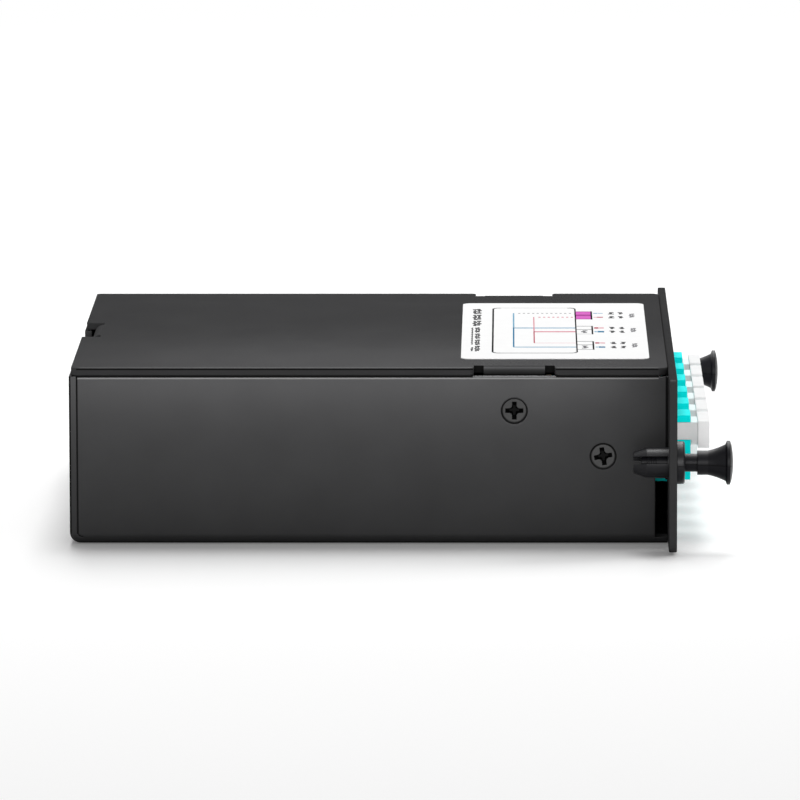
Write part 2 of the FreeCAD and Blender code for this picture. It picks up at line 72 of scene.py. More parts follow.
def makeCamera():
    lens = bpy.data.cameras.new("camera")
    lens.lens = cameraSet["lens"]
    lens.sensor_width = cameraSet["sensor"]
    camera = bpy.data.objects.new("camera", lens)
    spot = Vector(cameraSet["spot"]) * mm
    aim = Vector(cameraSet["aim"]) * mm
    camera.location = spot
    level = (aim - spot).to_track_quat("-Z", "Y").to_matrix()
    roll = Matrix.Rotation(math.radians(cameraSet["roll"]), 3, "Z")
    camera.rotation_euler = (level @ roll).to_euler()
    bpy.context.collection.objects.link(camera)
    bpy.context.scene.camera = camera


floorSet = {
    "ambient": 0.30,                    # world light on the object
    "colour": 0.92, "glow": 0.10,       # paper as seen, and its lift to plain white
    "bounce": 0.90,                     # paper as the object's own faces see it
    "fadeFrom": 0.25, "fadeTo": 0.8,    # metres, from shaded paper to plain white
    "size": 12.0, "gap": 0.05,          # metres, and mm below the tray
}


def seenDirectly(tree):
    # 1 for rays from the camera, mirror reflections and clear transmission
    path = tree.nodes.new("ShaderNodeLightPath")
    both = tree.nodes.new("ShaderNodeMath")
    both.operation = "MAXIMUM"
    tree.links.new(path.outputs["Is Camera Ray"], both.inputs[0])
    tree.links.new(path.outputs["Is Glossy Ray"], both.inputs[1])
    every = tree.nodes.new("ShaderNodeMath")
    every.operation = "MAXIMUM"
    tree.links.new(both.outputs[0], every.inputs[0])
    tree.links.new(path.outputs["Is Transmission Ray"], every.inputs[1])
    return every.outputs[0]


def makeWorld():
    world = bpy.data.worlds.new("studio")
    bpy.context.scene.world = world
    world.use_nodes = True
    tree = world.node_tree
    background = tree.nodes["Background"]
    background.inputs["Color"].default_value = (1, 1, 1, 1)
    level = tree.nodes.new("ShaderNodeMapRange")
    level.inputs["To Min"].default_value = floorSet["ambient"]
    level.inputs["To Max"].default_value = 1.0
    tree.links.new(seenDirectly(tree), level.inputs["Value"])
    tree.links.new(level.outputs["Result"], background.inputs["Strength"])


def makeFloor():
    shape = bmesh.new()
    bmesh.ops.create_grid(shape, x_segments=1, y_segments=1, size=floorSet["size"])
    bmesh.ops.translate(shape, verts=shape.verts,
                        vec=(0, 0, cadBox[0].z - floorSet["gap"] * mm))
    data = bpy.data.meshes.new("floor")
    shape.to_mesh(data)
    shape.free()
    floor = bpy.data.objects.new("floor", data)
    bpy.context.collection.objects.link(floor)

    paper = bpy.data.materials.new("whitePaper")
    paper.use_nodes = True
    tree = paper.node_tree
    tree.nodes.clear()
    seen = seenDirectly(tree)
    tone = tree.nodes.new("ShaderNodeMapRange")
    tone.inputs["To Min"].default_value = floorSet["bounce"]
    tone.inputs["To Max"].default_value = floorSet["colour"]
    tree.links.new(seen, tone.inputs["Value"])
    matt = tree.nodes.new("ShaderNodeBsdfDiffuse")
    tree.links.new(tone.outputs["Result"], matt.inputs["Color"])
    glow = tree.nodes.new("ShaderNodeEmission")
    level = tree.nodes.new("ShaderNodeMath")
    level.operation = "MULTIPLY"
    level.inputs[1].default_value = floorSet["glow"]
    tree.links.new(seen, level.inputs[0])
    tree.links.new(level.outputs[0], glow.inputs["Strength"])
    near = tree.nodes.new("ShaderNodeAddShader")
    tree.links.new(matt.outputs[0], near.inputs[0])
    tree.links.new(glow.outputs[0], near.inputs[1])

    # plain white further out, so that the floor runs into the backdrop
    far = tree.nodes.new("ShaderNodeEmission")
    white = tree.nodes.new("ShaderNodeMapRange")
    white.inputs["To Min"].default_value = floorSet["bounce"]
    white.inputs["To Max"].default_value = 1.0
    tree.links.new(seen, white.inputs["Value"])
    tree.links.new(white.outputs["Result"], far.inputs["Strength"])
    place = tree.nodes.new("ShaderNodeTexCoord")
    reach = tree.nodes.new("ShaderNodeVectorMath")
    reach.operation = "LENGTH"
    tree.links.new(place.outputs["Object"], reach.inputs[0])
    fade = tree.nodes.new("ShaderNodeMapRange")
    fade.interpolation_type = "SMOOTHSTEP"
    fade.inputs["From Min"].default_value = floorSet["fadeFrom"]
    fade.inputs["From Max"].default_value = floorSet["fadeTo"]
    tree.links.new(reach.outputs["Value"], fade.inputs["Value"])
    both = tree.nodes.new("ShaderNodeMixShader")
    tree.links.new(fade.outputs["Result"], both.inputs["Fac"])
    tree.links.new(near.outputs[0], both.inputs[1])
    tree.links.new(far.outputs[0], both.inputs[2])
    out = tree.nodes.new("ShaderNodeOutputMaterial")
    tree.links.new(both.outputs[0], out.inputs["Surface"])
    data.materials.append(paper)
    return floor


lampSet = {     # watts, and size and place in metres
    "topSoftbox": {"power": 6.7, "size": (0.47, 0.43), "spot": (-0.05, 0.30, 1.20)},
    "rearSoftbox": {"power": 10.2, "size": (0.53, 0.84), "spot": (-0.05, 0.93, 1.00)},
    "frontFill": {"power": 2.2, "size": (0.60, 0.20), "spot": (0.05, -0.56, 0.08)},
    "sideSoftbox": {"power": 0.024, "size": (0.08, 0.10), "spot": (0.13, 0.02, 0.10),
                    "aim": (0.03, -0.005), "spread": 50.0},
    "nylonSoftbox": {"power": 1.1, "size": (0.30, 0.60), "spot": (0.0, 0.02, 0.50)},
    "lineSoftbox": {"power": 0.5, "size": (0.40, 0.05), "spot": (0.02, -0.50, 0.17)},
    "knobSoftbox": {"power": 3.6, "size": (0.30, 0.30), "spot": (-0.30, -0.22, 0.14)},
}


def areaLamp(name, spot, aim, size, power, spread=180.0, onlyOn=None, shadows=None):
    # onlyOn and shadows are the groups that take its light and cast shadows in it
    light = bpy.data.lights.new(name, "AREA")
    light.shape = "RECTANGLE"
    light.size, light.size_y = size
    light.energy = power
    light.spread = math.radians(spread)
    lamp = bpy.data.objects.new(name, light)
    lamp.location = spot
    lamp.rotation_euler = (Vector(aim) - Vector(spot)).to_track_quat("-Z", "Y").to_euler()
    lamp.visible_camera = False
    bpy.context.collection.objects.link(lamp)
    if onlyOn:
        lamp.light_linking.receiver_collection = onlyOn
    if shadows:
        lamp.light_linking.blocker_collection = shadows


def softbox(name, aim, onlyOn=None, shadows=None):
    look = lampSet[name]
    areaLamp(name, look["spot"], aim, look["size"], look["power"], look.get("spread", 180.0),
             onlyOn, shadows)


def lightGroup(name, members, leftOut=False):
    group = bpy.data.collections.new(name)
    for member in members:
        group.objects.link(member)
    if leftOut:
        for entry in group.collection_objects:
            entry.light_linking.link_state = "EXCLUDE"
    return group


def withSlot(slot):
    return [nodes[part["node"]] for part in frame["record"]["subparts"]
            if part["material_slot"] == slot]


def lightObject(floor, middle):
    softbox("topSoftbox", middle)
    softbox("rearSoftbox", middle)
    # front fill for the plastics, which leaves the floor's shadow and the steel as they are,
    # with no shadow from one cap on the next
    softbox("frontFill", middle,
            lightGroup("plasticsOnly", [floor, *withSlot("painted_steel")], leftOut=True),
            lightGroup("shadeless", withSlot("white_plastic"), leftOut=True))
    # light on the paper beside the caps, which fades their shadow
    softbox("sideSoftbox", (*lampSet["sideSoftbox"]["aim"], cadBox[0].z),
            lightGroup("paperOnly", [floor]))
    # sheen for the nylon latches, free of the shadow of plate and caps
    nylonOnly = lightGroup("nylonOnly", [nodes[kind + side] for side in ("left", "right")
                                         for kind in ("latch_plunger_", "latch_grommet_")])
    softbox("nylonSoftbox", (0, 0, 0), nylonOnly, nylonOnly)
    softbox("lineSoftbox", (0, 0, 0), nylonOnly, nylonOnly)
    knobOnly = lightGroup("knobOnly", [nodes["latch_plunger_left"]])
    softbox("knobSoftbox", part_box("latch_plunger_left")[1], knobOnly, knobOnly)


stripSet = {    # strips that skim the long top edges of the steel and leave the rest alone
    "length": 0.10,             # metres, as each width is
    "rearShare": 0.10,          # strength of the rear strips beside the front ones
    # shift along the edge, out from it and up from it in mm
    "strips": {
        "coverStrip": {"node": "cover", "along": 0.0, "out": -5.0, "up": 35.0,
                       "width": 0.020, "power": 0.034},
        "wallStrip": {"node": "base_tray", "along": -13.0, "out": 16.0, "up": -1.0,
                      "width": 0.008, "power": 0.0076},
        "edgeStrip": {"node": "base_tray", "along": -6.0, "out": 1.4, "up": 25.0,
                      "width": 0.006, "power": 0.085},
    },
}


def skimEdges(middle):
    # gives back the light groups of each node
    groups = {}
    for name, strip in stripSet["strips"].items():
        node, out, up = strip["node"], strip["out"], strip["up"]
        only = lightGroup(name + "Only", [nodes[node]])
        groups.setdefault(node, []).append(only)
        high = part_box(node)[1]
        for side, end, share in ((-1, "Front", 1.0), (1, "Rear", stripSet["rearShare"])):
            edge = Vector((middle.x + strip["along"] * mm, side * high.y, high.z))
            spot = edge + Vector((0, side * out, up)) * mm
            aim = edge if out > 0 else spot - Vector((0, 0, up * mm))
            areaLamp(name + end, spot, aim, (stripSet["length"], strip["width"]),
                     strip["power"] * share, onlyOn=only)
    return groups


makeCamera()
makeWorld()
middle = (cadBox[0] + cadBox[1]) / 2
lightObject(makeFloor(), middle)
stripsOn = skimEdges(middle)
bpy.context.scene.view_settings.view_transform = "Standard"
print("camera, floor and", len(bpy.data.lights), "lamps ready")


textureSet = {"edgeSamples": 6, "grainDetail": 3, "cloudDetail": 4, "cloudBand": (0.3, 0.7)}


def plainMaterial(name, colour, roughness, specular=0.5):
    material = bpy.data.materials.new(name)
    material.use_nodes = True
    shader = material.node_tree.nodes["Principled BSDF"]
    shader.inputs["Base Color"].default_value = (*colour, 1)
    shader.inputs["Roughness"].default_value = roughness
    shader.inputs["Specular IOR Level"].default_value = specular
    return material, material.node_tree, shader


def softEdges(tree, radius):
    edge = tree.nodes.new("ShaderNodeBevel")
    edge.samples = textureSet["edgeSamples"]
    edge.inputs["Radius"].default_value = radius * mm
    return edge.outputs["Normal"]


def grain(tree, shader, size, height, strength, edgeRadius):
    # fine moulded or sprayed texture, laid over softened edges
    place = tree.nodes.new("ShaderNodeTexCoord")
    noise = tree.nodes.new("ShaderNodeTexNoise")
    noise.inputs["Scale"].default_value = 1 / (size * mm)
    noise.inputs["Detail"].default_value = textureSet["grainDetail"]
    tree.links.new(place.outputs["Object"], noise.inputs["Vector"])
    bump = tree.nodes.new("ShaderNodeBump")
    bump.inputs["Strength"].default_value = strength
    bump.inputs["Distance"].default_value = height * mm
    tree.links.new(noise.outputs["Fac"], bump.inputs["Height"])
    tree.links.new(softEdges(tree, edgeRadius), bump.inputs["Normal"])
    tree.links.new(bump.outputs["Normal"], shader.inputs["Normal"])
    return place


def mottled(tree, place, shader, low, high, size):
    # slow change of tone across a surface
    cloud = tree.nodes.new("ShaderNodeTexNoise")
    cloud.inputs["Scale"].default_value = 1 / (size * mm)
    cloud.inputs["Detail"].default_value = textureSet["cloudDetail"]
    ramp = tree.nodes.new("ShaderNodeValToRGB")
    for stop, position, colour in zip(ramp.color_ramp.elements, textureSet["cloudBand"],
                                      (low, high)):
        stop.position = position
        stop.color = (*colour, 1)
    tree.links.new(place.outputs["Object"], cloud.inputs["Vector"])
    tree.links.new(cloud.outputs["Fac"], ramp.inputs["Fac"])
    tree.links.new(ramp.outputs["Color"], shader.inputs["Base Color"])


coatSet = {     # tones, then cloud, soft edge and grain in mm
    "low": (0.050, 0.050, 0.051), "high": (0.055, 0.055, 0.056), "cloud": 9.0,
    "roughness": 0.42, "metallic": 0.35, "edge": 0.35,
    "grain": 0.22, "grainHeight": 0.012, "grainStrength": 0.6,
}


def powderCoat():
    # part metallic with a dark edge tint: a soft gloss face on, black at a glancing angle
    material, tree, shader = plainMaterial("blackPowderCoat", coatSet["low"],
                                           coatSet["roughness"], 0.0)
    shader.inputs["Metallic"].default_value = coatSet["metallic"]
    shader.inputs["Specular Tint"].default_value = (0, 0, 0, 1)
    place = grain(tree, shader, coatSet["grain"], coatSet["grainHeight"],
                  coatSet["grainStrength"], coatSet["edge"])
    mottled(tree, place, shader, coatSet["low"], coatSet["high"], coatSet["cloud"])
    return material


mouldedSet = {"grain": 0.35, "grainHeight": 0.008, "grainStrength": 0.4, "cloud": 3.0}     # mm

plasticSet = {  # darker tone, lighter tone, roughness, gloss, and soft edge in mm
    "aquaPlastic": ((0.0, 0.92, 0.91), (0.0, 0.97, 0.96), 0.55, 0.03, 0.15),
    "whiteCap": ((0.80, 0.80, 0.80), (0.84, 0.84, 0.84), 0.5, 0.05, 0.15),
    "blackNylon": ((0.003, 0.003, 0.004), (0.005, 0.005, 0.006), 0.36, 0.085, 0.15),
    "satinNylon": ((0.003, 0.003, 0.004), (0.005, 0.005, 0.006), 0.36, 0.18, 0.15),
    "labelFilm": ((0.84, 0.84, 0.84), (0.86, 0.86, 0.86), 0.6, 0.0, 0.03),
    "blackScrewSteel": ((0.012, 0.012, 0.012), (0.02, 0.02, 0.02), 0.42, 0.32, 0.15),
    # black for painted shade in recesses, gaps, seams and under the parting lines
    "paintedShadeBlack": ((0.001, 0.001, 0.001), (0.002, 0.002, 0.002), 0.5, 0.05, 0.01),
    "zirconia": ((0.80, 0.80, 0.76), (0.84, 0.84, 0.80), 0.2, 0.5, 0.15),
    "connectorBody": ((0.62, 0.54, 0.38), (0.66, 0.58, 0.42), 0.4, 0.5, 0.15),
    "greySpool": ((0.16, 0.16, 0.17), (0.20, 0.20, 0.21), 0.5, 0.5, 0.15),
    "fibreJacket": ((0.0, 0.45, 0.47), (0.0, 0.52, 0.54), 0.45, 0.5, 0.15),
}


def moulded(name, low, high, roughness, specular, edge):
    material, tree, shader = plainMaterial(name, low, roughness, specular)
    place = grain(tree, shader, mouldedSet["grain"], mouldedSet["grainHeight"],
                  mouldedSet["grainStrength"], edge)
    mottled(tree, place, shader, low, high, mouldedSet["cloud"])
    return material


brightSet = {   # mm
    "grain": 0.5, "grainHeight": 0.004, "grainStrength": 0.3, "edge": 0.05, "cloud": 2.0,
}

metalSet = {    # darker tone, lighter tone and roughness
    "springSteel": ((0.50, 0.50, 0.50), (0.58, 0.58, 0.58), 0.3),
    "couplerTube": ((0.46, 0.46, 0.47), (0.54, 0.54, 0.55), 0.25),
}


def brightMetal(name, low, high, roughness):
    material, tree, shader = plainMaterial(name, low, roughness)
    shader.inputs["Metallic"].default_value = 1.0
    place = grain(tree, shader, brightSet["grain"], brightSet["grainHeight"],
                  brightSet["grainStrength"], brightSet["edge"])
    mottled(tree, place, shader, low, high, brightSet["cloud"])
    return material


slotLook = {
    "painted_steel": "blackPowderCoat", "black_screw": "blackScrewSteel",
    "black_nylon": "blackNylon", "aqua_plastic": "aquaPlastic", "white_plastic": "whiteCap",
    "zirconia": "zirconia", "spring_steel": "springSteel", "beige_plastic": "connectorBody",
    "label_film": "labelFilm", "grey_plastic": "greySpool", "steel_tube": "couplerTube",
    "fibre_jacket": "fibreJacket",
}
looks = {"blackPowderCoat": powderCoat()}
looks.update((name, moulded(name, *values)) for name, values in plasticSet.items())
looks.update((name, brightMetal(name, *values)) for name, values in metalSet.items())
for part in frame["record"]["subparts"]:
    for socket in nodes[part["node"]].material_slots:
        socket.material = looks[slotLook[part["material_slot"]]]
for side in ("left", "right"):
    nodes["latch_grommet_" + side].material_slots[0].material = looks["satinNylon"]
print("materials on", len(slotLook), "slots")


def finished(shape, name, node, materials):
    bmesh.ops.recalc_face_normals(shape, faces=shape.faces)
    data = bpy.data.meshes.new(name)
    shape.to_mesh(data)
    shape.free()
    piece = bpy.data.objects.new(name, data)
    bpy.context.collection.objects.link(piece)
    for material in materials:
        data.materials.append(material)
    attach(piece, node)
    return piece


screwSet = {
    "places": ((-25.6, 7.7, 0.0), (-10.8, 0.0, 10.0)),   # x and z in mm, turn in degrees
    "faceRadius": 1.88, "headRadius": 2.02, "chamfer": 0.08,
    "threadRadius": 1.25, "coneEnd": 0.85, "length": 4.0,
    "armReach": 1.5, "armWidth": 0.75, "flare": 0.52, "flareEnd": 0.80,
    "recessDepth": 0.9, "recessTaper": 0.55, "roundSteps": 48,
    # black ring of painted shade in the gap round the head: inner radius inside the head's, and
    # height of both rims
    "gapInset": 0.02, "gapRadius": 2.26, "gapRims": (-0.03, 0.005),
}


def edgesOf(verts):
    # each edge once, in the same order every run
    return list(dict.fromkeys(edge for vert in verts for edge in vert.link_edges))


def facesOf(verts):
    return list(dict.fromkeys(face for vert in verts for face in vert.link_faces))


def crossOutline():
    # arms that widen where they meet, as a driver's cross does
    half, reach = screwSet["armWidth"] / 2, screwSet["armReach"]
    flare, end = screwSet["flare"], screwSet["flareEnd"]
    arm = ((reach, -half), (reach, half), (end, half), (flare, flare), (half, end))
    for quarter in range(4):
        turn = Matrix.Rotation(math.radians(90 * quarter), 2)
        for point in arm:
            yield (turn @ Vector(point)) * mm


def drawnOn(shape, edges, depth, scale):
    # carries an outline down and in, and gives back its new edges and faces
    made = bmesh.ops.extrude_edge_only(shape, edges=edges)["geom"]
    verts = [item for item in made if isinstance(item, bmesh.types.BMVert)]
    bmesh.ops.scale(shape, verts=verts, vec=(scale, scale, 1))
    bmesh.ops.translate(shape, verts=verts, vec=(0, 0, -depth * mm))
    outline = [edge for edge in edgesOf(verts) if all(end in verts for end in edge.verts)]
    return outline, facesOf(verts)


def screwPattern():
    # one screw at the origin, its face up
    shape = bmesh.new()
    steps, face, head = screwSet["roundSteps"], screwSet["faceRadius"], screwSet["headRadius"]
    thread = screwSet["threadRadius"]
    rim = bmesh.ops.create_circle(shape, segments=steps, radius=face * mm)["verts"]
    rimEdges = edgesOf(rim)
    cross = [shape.verts.new((*point, 0)) for point in crossOutline()]
    crossEdges = [shape.edges.new((cross[i - 1], cross[i])) for i in range(len(cross))]
    bmesh.ops.triangle_fill(shape, use_beauty=True, edges=rimEdges + crossEdges)

    floorEdges, walls = drawnOn(shape, crossEdges, screwSet["recessDepth"],
                                screwSet["recessTaper"])
    bottom = bmesh.ops.edgeloop_fill(shape, edges=floorEdges)["faces"]
    # the walls and floor of the cross recess are black, painted shade
    for dark in (*walls, *bottom):
        dark.material_index = 1

    # chamfer, cone and shank
    chamfer, cone = screwSet["chamfer"], screwSet["coneEnd"]
    edges = rimEdges
    for depth, scale in ((chamfer, head / face), (cone - chamfer, thread / head),
                         (screwSet["length"] - cone, 1)):
        edges = drawnOn(shape, edges, depth, scale)[0]
    bmesh.ops.edgeloop_fill(shape, edges=edges)

    # black ring of painted shade in the gap between the head and its hole
    gap = []
    radii = (head - screwSet["gapInset"], screwSet["gapRadius"])
    for radius, lift in zip(radii, screwSet["gapRims"]):
        loop = bmesh.ops.create_circle(shape, segments=steps, radius=radius * mm)["verts"]
        bmesh.ops.translate(shape, verts=loop, vec=(0, 0, lift * mm))
        gap += edgesOf(loop)
    for dark in bmesh.ops.bridge_loops(shape, edges=gap)["faces"]:
        dark.material_index = 1
    bmesh.ops.recalc_face_normals(shape, faces=shape.faces)
    pattern = bpy.data.meshes.new("screwPattern")
    shape.to_mesh(pattern)
    shape.free()
    return pattern


def sideScrews():
    pattern = screwPattern()
    shape = bmesh.new()
    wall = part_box("base_tray")[1].y
    for side in (-1, 1):
        for x, z, turn in screwSet["places"]:
            before = len(shape.verts)
            shape.from_mesh(pattern)
            shape.verts.ensure_lookup_table()
            place = (Matrix.Translation((x * mm, side * wall, z * mm))
                     @ Matrix.Rotation(math.radians(-90 * side), 4, "X")
                     @ Matrix.Rotation(math.radians(turn), 4, "Z"))
            bmesh.ops.transform(shape, matrix=place, verts=shape.verts[before:])
    bpy.data.meshes.remove(pattern)
    piece = finished(shape, "sideScrews", "cassette",
                     (looks["blackScrewSteel"], looks["paintedShadeBlack"]))
    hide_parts("side_screws")


seamSet = {     # mm, x from the front plate's rear face
    "proud": 0.004,
    "rearCorner": 0.9, "front": -1.6, "notch": (-32.5, -18.7),
    "drop": 0.05, "line": 0.27,                         # painted shade: a dark line under the cover's top corner
    # painted shade: a black bar fills the gap between the cover and the wall
    "sheet": 1.2, "gap": 0.22, "gapOver": 0.16, "gapTop": 0.03, "gapDepth": 0.3,
    "joint": (-0.43, -0.02), "jointLow": -3.9,          # painted shade: a dark line in the joint of side wall and plate
    "corners": ((0.02, 0.30), (1.19, 1.46)), "cornerLow": 1.7,      # painted shade at the rear edge and in the corner slit
    # painted shade: dark skins on the cut faces at each end of the notch
    "notchDepth": 3.1, "notchEnds": ((-32.3, -30.75), (-20.45, -18.9)), "notchSkin": 0.02,
}


def thinBar(shape, x, y, z):
    made = bmesh.ops.create_cube(shape, size=1.0)["verts"]
    bmesh.ops.scale(shape, verts=made, vec=[(b - a) * mm for a, b in (x, y, z)])
    bmesh.ops.translate(shape, verts=made, vec=[(a + b) / 2 * mm for a, b in (x, y, z)])


def coverSeamShade():
    # painted shade: black bars along each long edge of the cover and in the gap below, broken at
    # the notch, and in the joint, the corner slits and the notch ends
    shape = bmesh.new()
    low, high = (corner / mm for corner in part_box("cover"))
    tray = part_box("base_tray")[0] / mm
    rearEnd, frontEnd = low.x + seamSet["rearCorner"], seamSet["front"]
    top = high.z - seamSet["drop"]
    under = high.z - seamSet["sheet"]
    for side in (-1, 1):
        face = side * high.y
        front = face + side * seamSet["proud"]
        for x in ((rearEnd, seamSet["notch"][0]), (seamSet["notch"][1], frontEnd)):
            thinBar(shape, x, sorted((face, front)), (top - seamSet["line"], top))
            thinBar(shape, x, sorted((face - side * seamSet["gapDepth"], front)),
                    (under - seamSet["gap"] - seamSet["gapOver"], under - seamSet["gapTop"]))
        thinBar(shape, seamSet["joint"], sorted((face, front)),
                (seamSet["jointLow"], under - seamSet["gap"]))
        for x in seamSet["corners"]:
            thinBar(shape, [tray.x + part for part in x], sorted((face, front)),
                    (tray.z + seamSet["cornerLow"], under - seamSet["gap"]))
        back = face - side * seamSet["notchDepth"]
        skin = seamSet["notchSkin"]
        for x in seamSet["notchEnds"]:
            thinBar(shape, x, sorted((back, back + side * skin)), (under, high.z - skin))
    finished(shape, "coverSeamShade", "cassette", (looks["paintedShadeBlack"],))


# lighter lines of painted highlight along the long top edges of the wall and the cover
highlightSet = {     # mm
    "rearEnd": 1.4, "frontEnd": -1.6, "proud": 0.004,
    "roughness": 0.5, "softEdge": 0.05, "lighter": 1.05,
    "wall": (0.12, 0.12, 0.12), "wallFrom": -0.42, "wallTo": -0.16,
    "cover": (0.075, 0.075, 0.076), "coverFrom": -0.80, "coverTo": -0.06,
    "coverNotch": (-32.6, -18.6),
}


def paintedHighlightEdges(name, node, colour, across, z, notch=()):
    # painted highlight: a lighter line along each long edge, broken at the notch, under the same
    # strips as its node
    shape = bmesh.new()
    low, high = (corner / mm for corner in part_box(node))
    ends = [low.x + highlightSet["rearEnd"], *notch, highlightSet["frontEnd"]]
    for side in (-1, 1):
        for span in zip(ends[::2], ends[1::2]):
            thinBar(shape, span, sorted(side * (high.y + part) for part in across),
                    [high.z + part for part in z])
    look = moulded(name + "Coat", colour, tuple(part * highlightSet["lighter"] for part in colour),
                   highlightSet["roughness"], 0.0, highlightSet["softEdge"])
    piece = finished(shape, name, "cassette", (look,))
    for only in stripsOn[node]:
        only.objects.link(piece)


tabSet = {      # mm and degrees
    "ends": (-30.7, -20.5), "face": 1.25, "bend": 1.6, "turn": (4, 82), "steps": 14,
    "skin": 0.015, "foot": 1.42, "shade": (0.1, 1.3), "paintedFootShade": (0.001, 0.001, 0.001),
}


def paintedShadeCoat(low, high):
    # the coat with painted shade, darker towards the foot of the tab
    material = powderCoat()
    material.name = "paintedShadeCoat"
    tree = material.node_tree
    shader = tree.nodes["Principled BSDF"]
    colour = shader.inputs["Base Color"].links[0].from_socket
    place = tree.nodes.new("ShaderNodeTexCoord")
    split = tree.nodes.new("ShaderNodeSeparateXYZ")
    tree.links.new(place.outputs["Object"], split.inputs[0])
    rise = tree.nodes.new("ShaderNodeMapRange")
    rise.inputs["From Min"].default_value = low
    rise.inputs["From Max"].default_value = high
    tree.links.new(split.outputs["Z"], rise.inputs["Value"])
    shade = tree.nodes.new("ShaderNodeMix")
    shade.data_type = "RGBA"
    shade.inputs["A"].default_value = (*tabSet["paintedFootShade"], 1)
    tree.links.new(rise.outputs["Result"], shade.inputs["Factor"])
    tree.links.new(colour, shade.inputs["B"])
    tree.links.new(shade.outputs["Result"], shader.inputs["Base Color"])
    return material


def tabShades():
    # skin over each side tab's bend, with painted shade dark at its foot
    shape = bmesh.new()
    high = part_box("cover")[1] / mm
    bend = tabSet["bend"]
    first, last = tabSet["turn"]
    for side in (-1, 1):
        centre = Vector((0, side * (high.y - tabSet["face"] - bend), high.z - bend)) * mm
        start = centre + Matrix.Rotation(math.radians(side * first), 3, "X") @ Vector(
            (0, side * (bend + tabSet["skin"]) * mm, 0))
        ends = [shape.verts.new((x * mm, start.y, start.z)) for x in tabSet["ends"]]
        edge = shape.edges.new(ends)
        bmesh.ops.spin(shape, geom=ends + [edge], cent=centre, axis=(side, 0, 0),
                       angle=math.radians(last - first), steps=tabSet["steps"],
                       use_merge=False, use_duplicate=False)
    low, top = ((high.z - tabSet["foot"] + part) * mm for part in tabSet["shade"])
    finished(shape, "tabShades", "cassette", (paintedShadeCoat(low, top),))


partingSet = {  # mm
    "thick": 0.12, "below": 0.16, "proud": 0.03, "axis": 50.5,
    # x and radius along the knob and stem, then along the collar
    "knob": ((2.66, 1.5), (4.73, 1.5), (4.73, 2.03), (6.48, 2.03), (7.06, 2.17), (7.64, 2.34),
             (8.22, 2.54), (8.80, 2.78), (9.38, 3.06), (9.63, 3.66), (10.13, 3.66), (10.38, 3.0)),
    "collar": ((1.34, 3.55), (2.24, 3.55), (2.52, 3.43), (2.64, 3.15)),
}


def partingLineShade(name, profile, y, node):
    # painted shade of the parting line: a black fin round the part, just below its middle
    shape = bmesh.new()
    ends = [(x, radius + partingSet["proud"]) for x, radius in profile]
    outline = ends + [(x, -radius) for x, radius in reversed(ends)]
    level = -partingSet["below"] * mm
    verts = [shape.verts.new((x * mm, (y + across) * mm, level)) for x, across in outline]
    raised = bmesh.ops.extrude_face_region(shape, geom=[shape.faces.new(verts)])["geom"]
    moved = [item for item in raised if isinstance(item, bmesh.types.BMVert)]
    bmesh.ops.translate(shape, verts=moved, vec=(0, 0, partingSet["thick"] * mm))
    finished(shape, name, node, (looks["paintedShadeBlack"],))


sideScrews()
coverSeamShade()
paintedHighlightEdges("wallEdgeHighlight", "base_tray", highlightSet["wall"], (0, highlightSet["proud"]),
           (highlightSet["wallFrom"], highlightSet["wallTo"]))
paintedHighlightEdges("coverEdgeHighlight", "cover", highlightSet["cover"],
           (highlightSet["coverFrom"], highlightSet["coverTo"]), (0, highlightSet["proud"]),
           highlightSet["coverNotch"])
tabShades()
for name, y in (("Left", partingSet["axis"]), ("Right", -partingSet["axis"])):
    partingLineShade("knobLineShade" + name, partingSet["knob"], y, "plunger_" + name.lower())
    partingLineShade("collarLineShade" + name, partingSet["collar"], y, "cassette")
print("screws, seams and parting lines made")


labelSet = {    # places on the label in mm, x towards the front plate and y across the cover
    "ink": 0.012,               # above the film
    "frameX": (-29.25, -15.0), "frameY": (-27.7, 25.3), "frameLine": (0.30, 0.24),
    "frameEnd": 0.9,            # straight sides end before the corners
    "rails": ((0.7, 0.42), (1.2, 0.10)),        # low and high side: inset and width
    # corner taken round in three short steps, inward and along
    "corner": (((0.02, 0.32), (0.45, 1.0)), ((0.20, 0.60), (0.10, 0.60)),
               ((0.50, 1.30), (-0.15, 0.30))),
    "blueX": -25.7, "redX": -22.2, "blueLine": 0.26, "redLine": 0.20,
    "joinShort": 0.2, "joinLong": 0.4,
    "rows": ((18.8, 14.1), (1.3, -3.1), (-16.2, -20.9)),
    "blueRows": (0.95, 0.80), "redRows": (1.10, 0.20), "dashRows": (0.50, 0.85),
    "under": 0.9,               # height of the rows beside the uprights
    "dash": 0.38, "dashStep": 0.80,
}
tableSet = {    # mm
    "boxX": (-14.95, -12.25), "boxY": ((11.6, 21.1), (-5.8, 3.4), (-23.7, -14.4)),
    "boxEnd": (0.05, 0.2, 0.28),                # shift, overlap and width of its dark end
    "plum": (0.4, 0.5, 1.7, 0.7),               # inset and the three widths
    "boxLow": 0.16, "boxLine": 0.42, "boxRise": 0.3,
    "fieldLift": 0.5, "lineLift": 0.8,          # share of the ink's height
    "entryX": 0.8, "entryY": (1.2, -0.6), "entryPitch": 0.9,
    "marksX": (-11.85, -10.2), "marks": (0.8, 1.5, 1.3), "markSplit": -0.1,     # widths by row
    "markShift": (0.0, 0.1, -0.3, -0.2), "markShare": (1.0, 0.7, 0.7, 1.1),
    "bigX": (-9.3, -8.25), "smallX": (-7.6, -6.65), "number": 1.3, "numberPitch": 0.85,
    "nameX": (-5.7, -4.7), "nameY": (-0.4, 0.6), "namePitch": 0.95,
}
